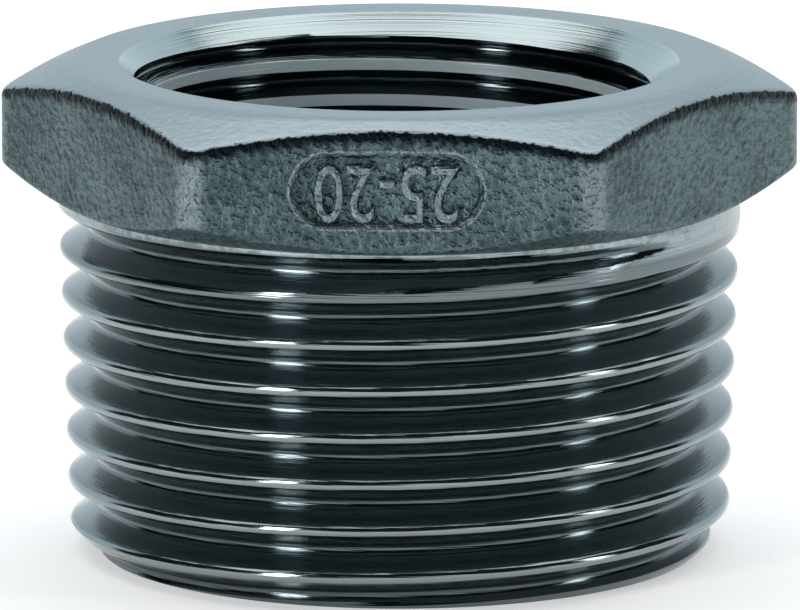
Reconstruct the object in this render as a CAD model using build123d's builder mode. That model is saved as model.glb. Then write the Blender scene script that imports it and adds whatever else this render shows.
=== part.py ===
from build123d import *
import math
import os

# Hex reducing bushing: male R1 taper thread below, female G 3/4 parallel thread through the hex.
# The part stands on its male end.  Origin at the centre of that end face, +Z up through the hex.
# Two corners of the hex lie on the X axis and two flats face +Y and -Y.  Lengths in millimetres.

# Heights above the male end face.
overall_height = 24.3
hex_underside_z = 17.8
collar_bottom_z = 16.9

# Hex head.
across_flats = 34.3
corner_radius = 1.3
top_chamfer_inset = 1.05
top_chamfer_slope = 22.5
underside_slope = 25.5
top_edge_rounding = 0.6

# Male thread, R1 to ISO 7-1: 11 threads to the inch, 55 degrees, taper 1 in 16 on diameter.
male_pitch = 2.309
male_depth = 1.479
male_major_r = 33.249 / 2
male_gauge_z = 10.4
male_end_chamfer = 1.4
male_start_turn = 0.1
male_run_out_turn = 8 + 205 / 360
male_last_turn = 8 + 325 / 360
male_groove_z = -1.472 * male_pitch

# Female thread, G 3/4 to ISO 228-1: 14 threads to the inch, 55 degrees, tapped in a 24.6 mm hole.
female_pitch = 1.814
female_form_depth = 1.162
female_cut = 0.92
hole_r = 24.6 / 2
female_start_turn = 0.1
female_full_turn = 1.1
female_last_turn = 10.6
female_groove_z = 5.966
mouth_chamfer = 1.5
hole_end_chamfer = 0.5

# Sunk panel on the front flat.
panel_length = 9.4
panel_height = 3.75
panel_depth = 0.35
panel_draft = 35.0
panel_x = -0.2
panel_z = 21.0

# Worked out from the sizes above.
flank = math.tan(math.radians(27.5))
male_half_flat = male_pitch / 4 - male_depth / 2 * flank
female_half_flat = female_pitch / 4 - female_form_depth / 2 * flank
female_major_r = hole_r + female_cut
flat_r = across_flats / 2
top_chamfer_start_r = flat_r - top_chamfer_inset


def male_crest_r(z):
    """Radius of the male thread's crest cone at height z."""
    return male_major_r + (z - male_gauge_z) / 32


collar_r = male_crest_r(collar_bottom_z)


def male_section(turn):
    """Corners (radius, height) of the male groove; it fades out through the collar."""
    z = male_groove_z + turn * male_pitch
    fade = max(0, turn - male_run_out_turn) / (male_last_turn - male_run_out_turn)
    depth = male_depth - fade * (male_depth + 0.12)
    outer_r = male_crest_r(z) + 0.25
    half_mouth = male_half_flat + (depth + 0.25) * flank
    root_r = male_crest_r(z) - depth
    return [
        (root_r, z - male_half_flat),
        (outer_r, z - half_mouth),
        (outer_r, z + half_mouth),
        (root_r, z + male_half_flat),
    ]


def female_section(turn):
    """Corners (radius, height) of the female groove; its first turn is the tap's lead-in."""
    z = female_groove_z + turn * female_pitch
    lead = min(1, (turn - female_start_turn) / (female_full_turn - female_start_turn))
    start_r = hole_r - 0.1
    root_r = start_r + lead * (female_major_r - start_r)
    inner_r = hole_r - 0.35
    half_mouth = female_half_flat + (root_r - inner_r) * flank
    return [
        (root_r, z - female_half_flat),
        (inner_r, z - half_mouth),
        (inner_r, z + half_mouth),
        (root_r, z + female_half_flat),
    ]


def groove_solid(section, first_turn, last_turn):
    """Solid of a helical groove, its sides ruled between rails of half a turn each."""

    def corners(turn):
        angle = 2 * math.pi * turn
        return [Vector(r * math.cos(angle), r * math.sin(angle), z) for r, z in section(turn)]

    faces = []
    low = first_turn
    while low < last_turn - 1e-6:
        high = min(low + 0.5, last_turn)
        stations = [corners(low + (high - low) * step / 12) for step in range(13)]
        rails = [Edge.make_spline([station[k] for station in stations]) for k in range(4)]
        for k in range(4):
            faces.append(Face.make_surface_from_curves(rails[k], rails[(k + 1) % 4]))
        low = high
    for end in (first_turn, last_turn):
        faces.append(Face(Wire.make_polygon(corners(end), close=True)))
    return Solid(Shell(faces))


male_groove = groove_solid(male_section, male_start_turn, male_last_turn)
female_groove = groove_solid(female_section, female_start_turn, female_last_turn)

with BuildPart() as hex_bushing:
    # Hex head, cut from bar with rounded corners, and the cones turned on its top and underside.
    with BuildSketch(Plane.XY.offset(hex_underside_z)) as hex_section:
        RegularPolygon(flat_r, 6, major_radius=False)
        fillet(hex_section.vertices(), corner_radius)
    extrude(amount=overall_height - hex_underside_z)
    clear_r = 1.2 * flat_r
    top_drop = (clear_r - top_chamfer_start_r) * math.tan(math.radians(top_chamfer_slope))
    under_rise = (clear_r - collar_r) * math.tan(math.radians(underside_slope))
    with BuildSketch(Plane.XZ):
        with BuildLine():
            Polyline(
                (0, hex_underside_z),
                (collar_r, hex_underside_z),
                (clear_r, hex_underside_z + under_rise),
                (clear_r, overall_height - top_drop),
                (top_chamfer_start_r, overall_height),
                (0, overall_height),
                close=True,
            )
        make_face()
    revolve(axis=Axis.Z, mode=Mode.INTERSECT)

    # The edge between the top cone and the flats is rounded off.
    rims = hex_bushing.edges().filter_by(GeomType.HYPERBOLA)
    rims += hex_bushing.edges().filter_by(GeomType.BSPLINE)
    middle_z = (hex_underside_z + overall_height) / 2
    fillet(rims.filter_by_position(Axis.Z, middle_z, overall_height), top_edge_rounding)

    # Turned blank of the male end: chamfered end, thread cone and plain collar.
    male_end_r = male_crest_r(0) - male_end_chamfer
    cone_start_z = male_end_chamfer / (1 - 1 / 32)
    with BuildSketch(Plane.XZ):
        with BuildLine():
            Polyline(
                (0, 0),
                (male_end_r, 0),
                (male_crest_r(cone_start_z), cone_start_z),
                (collar_r, collar_bottom_z),
                (collar_r, hex_underside_z),
                (0, hex_underside_z),
                close=True,
            )
        make_face()
    revolve(axis=Axis.Z)

    # Male thread.
    add(male_groove, mode=Mode.SUBTRACT)

    # Through hole, bored in one pass and chamfered at both ends.
    with BuildSketch(Plane.XZ):
        with BuildLine():
            Polyline(
                (0, 0),
                (hole_r + hole_end_chamfer, 0),
                (hole_r, hole_end_chamfer),
                (hole_r, overall_height - mouth_chamfer),
                (hole_r + mouth_chamfer, overall_height),
                (0, overall_height),
                close=True,
            )
        make_face()
    revolve(axis=Axis.Z, mode=Mode.SUBTRACT)

    # Female thread.
    add(female_groove, mode=Mode.SUBTRACT)

    # Sunk panel with sloping walls.
    with BuildSketch(Plane(origin=(panel_x, -flat_r, panel_z), x_dir=(1, 0, 0), z_dir=(0, -1, 0))):
        SlotOverall(panel_length, panel_height)
    extrude(amount=-panel_depth, taper=panel_draft, mode=Mode.SUBTRACT)

hex_bushing.part.label = "hex_bushing"
os.makedirs("parts", exist_ok=True)
export_step(hex_bushing.part, "parts/hex_bushing.step")
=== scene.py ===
import bmesh
import bpy
import math
from mathutils import Matrix, Vector


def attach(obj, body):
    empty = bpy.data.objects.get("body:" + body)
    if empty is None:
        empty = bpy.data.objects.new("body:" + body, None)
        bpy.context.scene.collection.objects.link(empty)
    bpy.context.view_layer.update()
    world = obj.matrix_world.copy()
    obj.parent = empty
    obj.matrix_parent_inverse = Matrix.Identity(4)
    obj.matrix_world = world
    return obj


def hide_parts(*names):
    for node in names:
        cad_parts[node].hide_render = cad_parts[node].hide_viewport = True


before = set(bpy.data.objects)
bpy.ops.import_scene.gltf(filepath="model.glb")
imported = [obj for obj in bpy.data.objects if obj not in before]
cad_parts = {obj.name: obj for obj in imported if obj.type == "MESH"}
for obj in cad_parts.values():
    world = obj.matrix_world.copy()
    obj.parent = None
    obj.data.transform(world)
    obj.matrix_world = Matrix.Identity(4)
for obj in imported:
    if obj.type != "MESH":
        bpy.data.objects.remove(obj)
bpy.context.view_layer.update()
mm = 0.001

# ---- Male end ----------------------------------------------------------------
# Turned from the stainless casting: a taper pipe thread with round crests and roots, which fades out in a
# plain collar under the hex.  The thread tool leaves it polished, and its end has a lead chamfer.
male_pitch = 2.309 * mm
male_depth = 1.479 * mm
male_gauge_r = 16.6245 * mm
male_gauge_z = 10.4 * mm
male_groove_z = -1.472 * male_pitch
male_run_out_turn = 8 + 205 / 360
male_last_turn = 8 + 325 / 360
male_end_r = 14.9 * mm
collar_bottom_z = 16.9 * mm
hex_underside_z = 17.8 * mm
male_turns = 10
male_steps = 216
run_out_curve = 2.4
run_out_soften = 0.12 * mm
flank_angle = math.radians(27.5)
arc_share = 0.137329
depth_share = 0.640327


def male_crest_r(z):
    """Radius of the thread's crests at height z: the end tapers by 1 in 16 on its diameter."""
    return male_gauge_r + (z - male_gauge_z) / 32


collar_r = male_crest_r(collar_bottom_z)


def round_thread(pitch, flat_depth=None, arc_points=5, flank_points=3):
    """Rounded 55 degree thread from crest to crest, as (height, depth).  At flat_depth it is cut flat."""
    arc_r = arc_share * pitch
    full_depth = depth_share * pitch
    side = []
    for k in range(arc_points):
        tilt = (math.pi / 2 - flank_angle) * k / (arc_points - 1)
        side.append((arc_r * math.sin(tilt), arc_r * (1 - math.cos(tilt))))
    top_height, top_depth = side[-1]
    low_depth = flat_depth or full_depth - top_depth
    for k in range(1, flank_points + 1):
        depth = top_depth + (low_depth - top_depth) * k / flank_points
        side.append((top_height + (depth - top_depth) * math.tan(flank_angle), depth))
    if not flat_depth:
        crest_arc = side[: arc_points - 1]
        side += [(pitch / 2 - height, full_depth - depth) for height, depth in reversed(crest_arc)]
    return side + [(pitch - height, depth) for height, depth in reversed(side) if height < pitch / 2]


def thread_sheet(name, profile, crest_r, low_z, turns, steps):
    """Sheet that winds a profile of one pitch up the axis, made with the Screw modifier."""
    bpy.ops.object.select_all(action="DESELECT")
    bpy.ops.object.add(type="MESH")
    sheet = bpy.context.object
    sheet.name = name
    line = bpy.data.meshes.new(name)
    pitch = profile[-1][0]
    points = [(crest_r - depth, 0, low_z + height) for height, depth in profile]
    line.from_pydata(points, [(k, k + 1) for k in range(len(points) - 1)], [])
    sheet.data = line
    screw = sheet.modifiers.new("turns", "SCREW")
    screw.angle = 2 * math.pi
    screw.screw_offset = pitch
    screw.iterations = turns
    screw.steps = steps
    screw.render_steps = steps
    screw.use_merge_vertices = False
    bpy.ops.object.modifier_apply(modifier=screw.name)
    bpy.ops.object.mode_set(mode="EDIT")
    bpy.ops.mesh.select_all(action="SELECT")
    bpy.ops.mesh.remove_doubles(threshold=0.0005 * mm)
    bpy.ops.object.mode_set(mode="OBJECT")
    return sheet


male_low_z = male_groove_z - male_pitch / 2
male_thread = round_thread(male_pitch)
male_end = thread_sheet("male_end", male_thread, male_gauge_r, male_low_z, male_turns, male_steps)
for vertex in male_end.data.vertices:
    x, y, z = vertex.co
    turned = math.atan2(y, x) % (2 * math.pi) / (2 * math.pi)
    turn = round((z - male_groove_z) / male_pitch - turned) + turned
    fade = max(0, min(1, (turn - male_run_out_turn) / (male_last_turn - male_run_out_turn)))
    depth = male_gauge_r - math.hypot(x, y) - fade**run_out_curve * (male_depth + run_out_soften)
    if fade > 0:
        depth = (depth + math.hypot(depth, run_out_soften * min(1, 4 * fade))) / 2
    r = min(male_crest_r(z) - depth, male_end_r + z, collar_r)
    grow = r / math.hypot(x, y)
    vertex.co = (x * grow, y * grow, z)


def trim(sheet, low_z, high_z):
    """Cuts a sheet off square at both ends."""
    bpy.ops.object.select_all(action="DESELECT")
    bpy.context.view_layer.objects.active = sheet
    sheet.select_set(True)
    bpy.ops.object.mode_set(mode="EDIT")
    for cut_z, up in ((low_z, 1), (high_z, -1)):
        bpy.ops.mesh.select_all(action="SELECT")
        bpy.ops.mesh.bisect(
            plane_co=(0, 0, cut_z), plane_no=(0, 0, up), clear_inner=True, threshold=0.0001 * mm
        )
    bpy.ops.object.mode_set(mode="OBJECT")


trim(male_end, 0, hex_underside_z)

# ---- Bore --------------------------------------------------------------------
# One hole bored right through and tapped from the hex side with a parallel pipe thread, whose crests
# stay flat at the wall of the hole.  Both mouths are chamfered.
female_pitch = 1.814 * mm
female_groove_z = 5.966 * mm
female_start_turn = 0.1
female_cut = 0.92 * mm
lead_in_clearance = 0.1 * mm
female_steps = 180
female_turns = 13
hole_r = 12.3 * mm
overall_height = 24.3 * mm
mouth_chamfer = 1.5 * mm
hole_end_chamfer = 0.5 * mm
tap_end_z = 5.4 * mm

female_thread = round_thread(female_pitch, flat_depth=female_cut)
female_low_z = female_groove_z - 2 * female_pitch
bore = thread_sheet("bore", female_thread, hole_r + female_cut, female_low_z, female_turns, female_steps)
for vertex in bore.data.vertices:
    x, y, z = vertex.co
    turned = math.atan2(y, x) % (2 * math.pi) / (2 * math.pi)
    turn = round((z - female_groove_z) / female_pitch - turned) + turned
    lead = max(0, min(1, turn - female_start_turn))
    r = max(hole_r, math.hypot(x, y) - (1 - lead) * (female_cut + lead_in_clearance))
    r = max(r, hole_r + z - (overall_height - mouth_chamfer))
    grow = r / math.hypot(x, y)
    vertex.co = (x * grow, y * grow, z)
trim(bore, tap_end_z, overall_height)


def pick(piece, kind, test):
    """Selects the faces or edges of a piece that pass a test, in edit mode; test gets bmesh elements."""
    bpy.ops.object.mode_set(mode="EDIT")
    bpy.ops.mesh.select_mode(type=kind)
    bpy.ops.mesh.select_all(action="DESELECT")
    mesh = bmesh.from_edit_mesh(piece.data)
    mesh.normal_update()
    for element in mesh.faces if kind == "FACE" else mesh.edges:
        if test(element):
            element.select_set(True)
    mesh.select_flush_mode()
    bmesh.update_edit_mesh(piece.data)


# The hole runs on plain below the thread and opens in its lower chamfer.
rim_gap = 0.001 * mm
pick(bore, "EDGE", lambda edge: edge.is_boundary and abs(edge.verts[0].co.z - tap_end_z) < rim_gap)
bpy.ops.mesh.extrude_edges_move(TRANSFORM_OT_translate={"value": (0, 0, hole_end_chamfer - tap_end_z)})
bpy.ops.mesh.extrude_edges_move(TRANSFORM_OT_translate={"value": (0, 0, -hole_end_chamfer)})
chamfer_grow = 1 + hole_end_chamfer / hole_r
bpy.ops.transform.resize(value=(chamfer_grow, chamfer_grow, 1), center_override=(0, 0, 0))
bpy.ops.object.mode_set(mode="OBJECT")

# ---- Hex head ----------------------------------------------------------------
# Investment cast hexagon with soft corners and edges; its top is faced and chamfered in the lathe and its
# underside is a shallow cast cone.
across_flats = 34.3 * mm
corner_radius = 1.3 * mm
top_chamfer_inset = 1.05 * mm
top_chamfer_slope = math.radians(22.5)
underside_slope = math.radians(25.5)
rim_radius = 0.6 * mm
under_rim_radius = 0.3 * mm
flat_columns = 30
flat_edge_share = 0.985
corner_columns = 10
seam = 0.08 * mm
flat_r = across_flats / 2
top_chamfer_r = flat_r - top_chamfer_inset
corner_centre_r = (flat_r - corner_radius) / math.cos(math.pi / 6)
corner_start = math.atan2((flat_r - corner_radius) * math.tan(math.pi / 6), flat_r)


def hex_reach(angle):
    """Distance from the axis to the rounded hexagon at an angle from the middle of a flat."""
    if angle <= corner_start:
        return flat_r / math.cos(angle)
    off = math.pi / 6 - angle
    aside = corner_centre_r * math.sin(off)
    return corner_centre_r * math.cos(off) + math.sqrt(corner_radius**2 - aside**2)


def rounded(corner, before, after, radius, steps=6):
    """Arc that rounds a corner of a section; before and after are the corner's neighbours."""
    corner, before, after = Vector(corner), Vector(before), Vector(after)
    back, on = (before - corner).normalized(), (after - corner).normalized()
    half = back.angle(on) / 2
    middle = corner + (back + on).normalized() * radius / math.sin(half)
    start = corner + back * radius / math.tan(half) - middle
    sweep = start.angle_signed(corner + on * radius / math.tan(half) - middle)
    return [middle + Matrix.Rotation(-sweep * k / steps, 2) @ start for k in range(steps + 1)]


def spread(first, last, shares):
    """Points between two others, at the given shares of the way."""
    return [Vector(first).lerp(Vector(last), share) for share in shares]


def head_section(reach):
    """Section of the head from the mouth to the collar where the hexagon reaches out this far."""
    mouth = (hole_r + mouth_chamfer + seam, overall_height)
    top_edge = (top_chamfer_r, overall_height)
    rim = (reach, overall_height - (reach - top_chamfer_r) * math.tan(top_chamfer_slope))
    under_rim = (reach, hex_underside_z + (reach - collar_r) * math.tan(underside_slope))
    neck = (collar_r + seam, hex_underside_z + seam * math.tan(underside_slope))
    rim_arc = rounded(rim, top_edge, under_rim, rim_radius)
    under_arc = rounded(under_rim, rim, neck, under_rim_radius, steps=4)
    section = [Vector(mouth)] + spread(mouth, top_edge, (0.5, 1))
    section += spread(top_edge, rim_arc[0], (0.3, 0.6, 0.9)) + rim_arc
    section += spread(rim_arc[-1], under_arc[0], (0.04, 0.3, 0.5, 0.7, 0.96))
    return section + under_arc + spread(under_arc[-1], neck, (0.06, 0.5, 1))


columns = []
for side in range(6):
    middle_of_flat = math.radians(30 + 60 * side)
    even_shares = [2 * k / flat_columns - 1 for k in range(1, flat_columns)]
    flat_shares = [-1, -flat_edge_share, *even_shares, flat_edge_share]
    for share in flat_shares:
        columns.append((middle_of_flat + share * corner_start, abs(share) * corner_start))
    for k in range(corner_columns):
        off = corner_start + (math.pi / 3 - 2 * corner_start) * k / corner_columns
        columns.append((middle_of_flat + off, min(off, math.pi / 3 - off)))
points, quads = [], []
for angle, from_flat in columns:
    points += [(r * math.cos(angle), r * math.sin(angle), z) for r, z in head_section(hex_reach(from_flat))]
rows = len(points) // len(columns)
for c in range(len(columns)):
    here, there = c * rows, (c + 1) % len(columns) * rows
    quads += [(here + k, here + k + 1, there + k + 1, there + k) for k in range(rows - 1)]
head_mesh = bpy.data.meshes.new("head")
head_mesh.from_pydata(points, [], quads)
head = bpy.data.objects.new("head", head_mesh)
bpy.context.collection.objects.link(head)

# Head, male end and bore are one piece, joined and closed at the mouth, the collar and the end face.
bushing = head
bpy.ops.object.select_all(action="DESELECT")
for part in (bushing, male_end, bore):
    part.select_set(True)
bpy.context.view_layer.objects.active = bushing
bpy.ops.object.join()
bushing.name = "bushing"
for join_z in (0, hex_underside_z, overall_height):
    pick(bushing, "EDGE", lambda edge: edge.is_boundary and abs(edge.verts[0].co.z - join_z) < seam)
    bpy.ops.mesh.fill()
bpy.ops.mesh.select_all(action="SELECT")
bpy.ops.mesh.normals_make_consistent(inside=False)
bpy.ops.object.mode_set(mode="OBJECT")

# ---- Size panel --------------------------------------------------------------
# Shallow slot with round ends, pressed into the wax of the flat that faces -Y.  Its lip and floor are
# soft, and two plain numbers stand raised on the floor.
panel_length = 9.4 * mm
panel_height = 3.75 * mm
panel_depth = 0.35 * mm
panel_x = -0.2 * mm
panel_z = 21.0 * mm
panel_proud = 0.1 * mm
panel_walls = ((50, 0.12 * mm), (40, 0.26 * mm), (62, 0.07 * mm))  # draft in degrees, depth
panel_points = 44

end_r = panel_height / 2 + panel_proud * math.tan(math.radians(panel_walls[0][0]))
bpy.ops.mesh.primitive_cylinder_add(
    vertices=panel_points,
    radius=end_r,
    depth=2 * mm,
    location=(0, -flat_r - mm - panel_proud, panel_z),
    rotation=(math.pi / 2, math.pi / panel_points, 0),
)
panel_tool = bpy.context.object
bpy.ops.object.transform_apply(location=True, rotation=True, scale=True)
for vertex in panel_tool.data.vertices:
    vertex.co.x += panel_x + math.copysign((panel_length - panel_height) / 2, vertex.co.x)
pick(panel_tool, "FACE", lambda face: face.normal.y > 0.9)
for draft, depth in panel_walls:
    bpy.ops.mesh.inset(thickness=depth * math.tan(math.radians(draft)), depth=depth)
bpy.ops.object.mode_set(mode="OBJECT")


def carve(piece, tool, operation):
    """Boolean between a piece and a tool solid, which is then gone."""
    change = piece.modifiers.new(operation, "BOOLEAN")
    change.operation = operation
    change.solver = "EXACT"
    change.object = tool
    bpy.ops.object.select_all(action="DESELECT")
    bpy.context.view_layer.objects.active = piece
    piece.select_set(True)
    bpy.ops.object.modifier_apply(modifier=change.name)
    bpy.data.objects.remove(tool)


carve(bushing, panel_tool, "DIFFERENCE")

# The raised numbers stand upside down.
number_height = 2.7 * mm
number_rise = 0.30 * mm
number_rounding = 0.12 * mm
type_size = 1.32
bpy.ops.object.select_all(action="DESELECT")
bpy.ops.object.text_add(location=(0, 0, 0))
numbers = bpy.context.object
numbers.data.body = "25-20"
numbers.data.align_x = "CENTER"
numbers.data.align_y = "CENTER"
numbers.data.size = number_height * type_size
numbers.data.space_character = 1.02
numbers.data.offset = -0.08 * mm
numbers.data.resolution_u = 4
numbers.data.extrude = number_rise - number_rounding
numbers.data.bevel_depth = number_rounding
numbers.data.bevel_resolution = 2
bpy.ops.object.convert(target="MESH")
numbers = bpy.context.object
numbers.rotation_euler = (math.pi / 2, math.pi, 0)
numbers.location = (panel_x, panel_depth - flat_r, panel_z)
numbers.scale = (0.84, 1.12, 1)
bpy.ops.object.transform_apply(location=True, rotation=True, scale=True)
carve(bushing, numbers, "UNION")
bpy.ops.object.shade_smooth_by_angle(angle=math.radians(35))

# ---- Finishes ----------------------------------------------------------------
# The casting's rough skin with its faced satin top, and the polished cut of the threads.  The cut is
# painted far darker than bare steel as a dark reflection, so that the threads stay dark above the pale
# floor.


class Value:
    """A shader number.  Sums, products and the like of values add their Math nodes."""

    def __init__(self, nodes, socket):
        self.nodes = nodes
        self.socket = socket

    def math(self, operation, *others):
        return self.nodes.node("ShaderNodeMath", {"operation": operation}, [self, *others])

    def __add__(self, other):
        return self.math("ADD", other)

    def __sub__(self, other):
        return self.math("SUBTRACT", other)

    def __rsub__(self, other):
        return self.nodes.node("ShaderNodeMath", {"operation": "SUBTRACT"}, [other, self])

    def __mul__(self, other):
        return self.math("MULTIPLY", other)

    def __truediv__(self, other):
        return self.math("DIVIDE", other)

    def __pow__(self, other):
        return self.math("POWER", other)

    __radd__ = __add__
    __rmul__ = __mul__

    def between(self, low, high):
        """0 at low and 1 at high, with a smooth step from one to the other."""
        settings = {"interpolation_type": "SMOOTHSTEP"}
        return self.nodes.node("ShaderNodeMapRange", settings, [self, low, high, 0, 1])


class Nodes:
    """The nodes of a material or of the world, with one method that adds a node."""

    def __init__(self, owner):
        owner.use_nodes = True
        self.tree = owner.node_tree

    def node(self, kind, settings, inputs, output=0):
        node = self.tree.nodes.new(kind)
        for key, value in settings.items():
            setattr(node, key, value)
        named = inputs.items() if isinstance(inputs, dict) else enumerate(inputs)
        for key, value in named:
            self.feed(node.inputs[key], value)
        return Value(self, node.outputs[output])

    def also(self, value, output):
        """Another output of the node that a value comes from."""
        return Value(self, value.socket.node.outputs[output])

    def feed(self, socket, value):
        if isinstance(value, Value):
            self.tree.links.new(value.socket, socket)
        else:
            socket.default_value = value

    def colour(self, share, low, high):
        """Blend of two colours."""
        mix = {0: share}
        for key, tint in ((6, low), (7, high)):
            mix[key] = tint if isinstance(tint, Value) else (*tint, 1)
        return self.node("ShaderNodeMix", {"data_type": "RGBA"}, mix, output=2)

    def split(self, vector):
        """The three numbers of a vector."""
        x = self.node("ShaderNodeSeparateXYZ", {}, [vector])
        return x, self.also(x, 1), self.also(x, 2)


class Finish(Nodes):
    """A material on a principled shader."""

    def __init__(self, name):
        self.material = bpy.data.materials.new(name)
        super().__init__(self.material)
        self.shader = self.tree.nodes["Principled BSDF"]
        self.place = self.node("ShaderNodeTexCoord", {}, [], output="Object")

    def set(self, **inputs):
        for key, value in inputs.items():
            self.feed(self.shader.inputs[key.replace("_", " ")], value)

    def noise(self, scale, detail=2, roughness=0.5, place=None):
        inputs = {"Vector": place or self.place, "Scale": scale, "Detail": detail, "Roughness": roughness}
        return self.node("ShaderNodeTexNoise", {}, inputs)

    def turning_lines(self, radius, across, height, along, detail):
        """Noise that runs round the axis, as fine as across and along say."""
        place = self.node("ShaderNodeCombineXYZ", {}, [radius * across, height * along, 0])
        return self.noise(1, detail=detail, place=place)

    def bump(self, height, distance):
        return self.node("ShaderNodeBump", {}, {"Distance": distance, "Height": height})

    def around(self):
        """Radius and height of a point, for marks that run round the axis."""
        x, y, z = self.split(self.place)
        return (x * x + y * y) ** 0.5, z


# Near black: painted shade for the rounded rim under the faced top.
painted_rim_shade = (0.008, 0.013, 0.016)
skin_dark = (0.056, 0.091, 0.098)
skin_light = (0.128, 0.188, 0.197)
faced_dark = (0.20, 0.25, 0.27)
faced_light = (0.34, 0.39, 0.41)
# Bright steel for wear that is also a painted highlight.
worn_highlight_steel = (0.36, 0.43, 0.45)
skin_relief = 0.28 * mm

cast = Finish("cast_steel")
grain = cast.noise(2700, detail=2, roughness=0.55)
pits = cast.noise(1100, detail=1)
patches = cast.noise(260, detail=2)
radius, height = cast.around()
cone_drop = (radius - top_chamfer_r).math("MAXIMUM", 0) * math.tan(top_chamfer_slope)
below_cone = overall_height - cone_drop - height
uneven = (grain - 0.5) * (0.20 * mm)
faced = 1 - (below_cone + uneven).between(0.05 * mm, 0.09 * mm)
# Painted shade: the rounded rim under the faced top and the top of the flats are painted near black, fading
# to the skin's own tone from 0.22 to 0.80 mm below the cone.
rim_shade_fade = (below_cone + uneven * 3).between(0.22 * mm, 0.80 * mm)
tone = (grain * 0.6 + patches * 0.4).between(0.35, 0.65)
rings = cast.turning_lines(radius, 9000, height, 3000, detail=3)
skin = cast.colour(rim_shade_fade, painted_rim_shade, cast.colour(tone, skin_dark, skin_light))
bright = cast.colour(rings * 0.5 + grain * 0.5, faced_dark, faced_light)

# The panel's lip, the tops of the numbers and the hex's corners are painted bright: partly wear from
# rubbing, partly painted highlight.
x, y, z = cast.split(cast.place)
off_middle = ((x - panel_x).math("ABSOLUTE") - (panel_length - panel_height) / 2).math("MAXIMUM", 0)
from_panel = (off_middle**2 + (z - panel_z) ** 2) ** 0.5 - panel_height / 2
proud = (panel_depth - flat_r) - y
on_panel = (1 - from_panel.between(-0.25 * mm, -0.1 * mm)) * proud.between(-0.2 * mm, -0.1 * mm)
tops_worn_and_highlit = on_panel * proud.between(0.08 * mm, 0.24 * mm)
off_lip = (from_panel + 0.02 * mm).math("ABSOLUTE").between(0.04 * mm, 0.14 * mm)
lip = (1 - off_lip) * proud.between(0, 0.1 * mm)
corner = (radius + uneven).between(19.2 * mm, 19.6 * mm) * rim_shade_fade
wear_and_highlight = (tops_worn_and_highlit * 0.45).math("MAXIMUM", lip * 0.5).math("MAXIMUM", corner * 0.45)
skin = cast.colour(wear_and_highlight, skin, worn_highlight_steel)
cast.set(
    Base_Color=cast.colour(faced, skin, bright),
    Metallic=1.0,
    Roughness=0.46 - faced * 0.12,
    Normal=cast.bump((grain + pits * 0.5) * (1 - faced * 0.88) + rings * faced * 0.04, skin_relief),
)

# Near black: painted dark reflection for the polished cut.
dark_reflection_low = (0.095, 0.122, 0.132)
dark_reflection_high = (0.130, 0.158, 0.168)
# Lighter crest colour: painted highlight.
crest_highlight = (0.27, 0.31, 0.32)
satin_dark = (0.30, 0.37, 0.38)
satin_light = (0.46, 0.53, 0.54)
# Pale land colour: partly the duller bored finish, partly painted highlight.
land_highlight_steel = (0.72, 0.82, 0.86)
tool_mark_depth = 0.018 * mm

cut = Finish("cut_steel")
radius, height = cut.around()
mouth_gap = radius - height - (hole_r + mouth_chamfer - overall_height)
in_mouth = 1 - mouth_gap.math("ABSOLUTE").between(0.01 * mm, 0.03 * mm)
cloud = cut.noise(220)
burr = (cut.noise(1500, detail=2) - 0.5) * (0.10 * mm)
crest_gap = (height - male_gauge_z) / 32 + male_gauge_r - radius
from_collar = height - collar_bottom_z
at_crest = 1 - (crest_gap + burr).between(0.02 * mm, 0.05 * mm)
on_collar = at_crest * from_collar.between(-0.5 * mm, -0.2 * mm)
satin = in_mouth.math("MAXIMUM", on_collar * 0.7)
# The lands on the wall of the hole have a duller bored finish; their pale blue-grey colour is partly that
# finish and partly a painted highlight.
bored = 1 - (radius - hole_r).between(0.01 * mm, 0.04 * mm)
rings = cut.turning_lines(radius, 12000, height, 12000, detail=2)
run_out = from_collar.between(-3.0 * mm, -1.2 * mm)
# Painted highlight: the crests are painted lighter than the flanks, less so towards the run-out under the
# collar.
crest_highlight_fade = crest_gap.between(0.06 * mm, 0.24 * mm) + run_out * 0.7
# The cut's colour is painted dark reflection, with a little random tone.
thread_painted_reflection = cut.colour(cloud, dark_reflection_low, dark_reflection_high)
thread_painted_reflection = cut.colour(crest_highlight_fade, crest_highlight, thread_painted_reflection)
pale = cut.colour(rings, satin_dark, satin_light)
cut.set(
    Base_Color=cut.colour(bored, cut.colour(satin, thread_painted_reflection, pale), land_highlight_steel),
    Metallic=1 - bored * 0.7,
    Roughness=cloud * 0.04 + 0.07 + in_mouth * 0.09 + on_collar.math("MAXIMUM", bored) * 0.20,
    Normal=cut.bump(rings, tool_mark_depth),
)

for finish in (cast, cut):
    bushing.data.materials.append(finish.material)
for face in bushing.data.polygons:
    x, y, z = face.center
    head_face = z > hex_underside_z and math.hypot(x, y) > hole_r + mouth_chamfer
    face.material_index = 0 if head_face else 1
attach(bushing, "root")
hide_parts("hex_bushing")

# ---- Floor -------------------------------------------------------------------
# White paper that shows pale to the camera and in reflections.  It lies just under the end face, and it
# is clear from below, so that the underside can be looked at.
floor_size = 4
floor_gap = 0.02 * mm
paper_white = (0.86, 0.86, 0.86)
paper_glow = (0.45, 0.45, 0.45)

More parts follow.
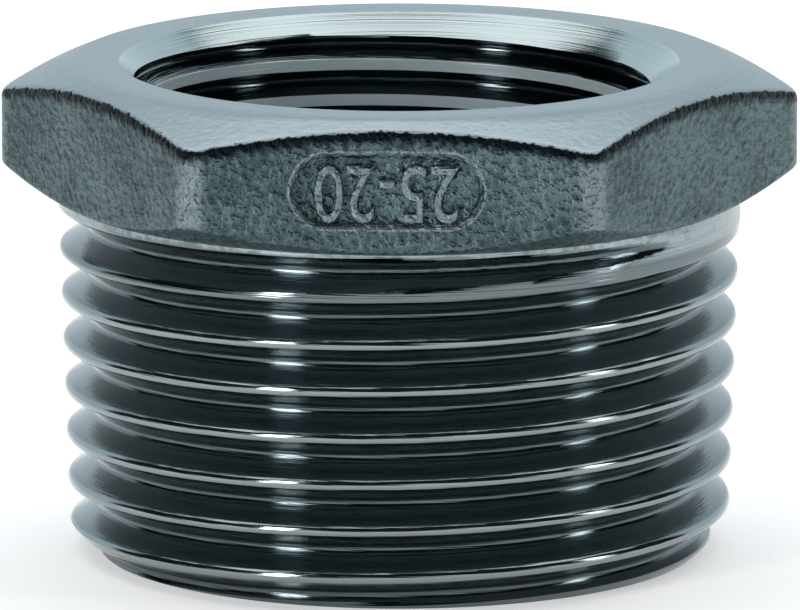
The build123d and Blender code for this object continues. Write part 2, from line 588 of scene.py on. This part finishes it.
bpy.ops.mesh.primitive_plane_add(size=floor_size, location=(0, 0, -floor_gap))
bpy.ops.object.transform_apply(location=True)
floor = bpy.context.object
floor.name = "floor"
paper = Finish("floor_paper")
camera_ray = paper.node("ShaderNodeLightPath", {}, [], output="Is Camera Ray")
glossy_ray = paper.also(camera_ray, "Is Glossy Ray")
through_ray = paper.also(camera_ray, "Is Transmission Ray")
shown = camera_ray.math("MAXIMUM", glossy_ray).math("MAXIMUM", through_ray)
paper.set(
    Base_Color=(*paper_white, 1),
    Roughness=0.9,
    Specular_IOR_Level=0.0,
    Emission_Color=paper.colour(shown, (0, 0, 0), paper_glow),
    Emission_Strength=1.0,
)
from_below = paper.node("ShaderNodeNewGeometry", {}, [], output="Backfacing")
clear = paper.node("ShaderNodeBsdfTransparent", {}, [])
above = Value(paper, paper.shader.outputs["BSDF"])
one_sided = paper.node("ShaderNodeMixShader", {}, [from_below, above, clear])
paper.feed(paper.tree.nodes["Material Output"].inputs["Surface"], one_sided)
floor.data.materials.append(paper.material)

# ---- Lights ------------------------------------------------------------------
# A pale backdrop low down behind the part in a dark room, a large soft box overhead, and a narrow soft
# box at the left and at the right.
room_dark = (0.020, 0.026, 0.030)
backdrop_pale = (0.80, 0.93, 1.0)
box_distance = 0.5
lit_height = 12 * mm

world = bpy.data.worlds.new("studio")
bpy.context.scene.world = world
room = Nodes(world)
_, depth, rise = room.split(room.node("ShaderNodeTexCoord", {}, [], output="Generated"))
backdrop = rise.between(0.93, 0.80) * depth.between(0.42, 0.53)
room.feed(room.tree.nodes["Background"].inputs["Color"], room.colour(backdrop, room_dark, backdrop_pale))


def soft_box(name, toward, width, length, along, radiance):
    """Rectangular lamp that faces the part from a direction, with its length along another."""
    toward = Vector(toward).normalized()
    across = Vector(along).cross(toward).normalized()
    data = bpy.data.lights.new(name, "AREA")
    data.shape = "RECTANGLE"
    data.size = width
    data.size_y = length
    data.energy = radiance * math.pi * width * length
    lamp = bpy.data.objects.new(name, data)
    bpy.context.collection.objects.link(lamp)
    turn = Matrix((across, toward.cross(across), toward)).transposed().to_4x4()
    lamp.matrix_world = Matrix.Translation(Vector((0, 0, lit_height)) + toward * box_distance) @ turn


soft_box("overhead_box", (0, 0.18, 1), 0.84, 0.47, (0, 1, 0), 1.7)
soft_box("left_low_box", (-0.66, -0.75, 0.20), 0.085, 0.30, (0, 0, 1), 12.0)
soft_box("right_low_box", (0.93, -0.29, 0.22), 0.07, 0.30, (0, 0, 1), 6.0)

# ---- Camera ------------------------------------------------------------------
# A long lens from the front and a little above, aimed at the middle of the part.
aim = Vector((0.04 * mm, 0, 12.0 * mm))
camera_distance = 605.2 * mm
camera_height = math.radians(11.4)
camera_side = math.radians(-88.7)

level = math.cos(camera_height)
toward = Vector((level * math.cos(camera_side), level * math.sin(camera_side), math.sin(camera_height)))
bpy.ops.object.camera_add(location=aim + camera_distance * toward)
camera = bpy.context.object
camera.rotation_euler = toward.to_track_quat("Z", "Y").to_euler()
camera.data.lens = 551
camera.data.clip_end = 10
bpy.context.scene.camera = camera
bpy.context.scene.view_settings.view_transform = "Standard"
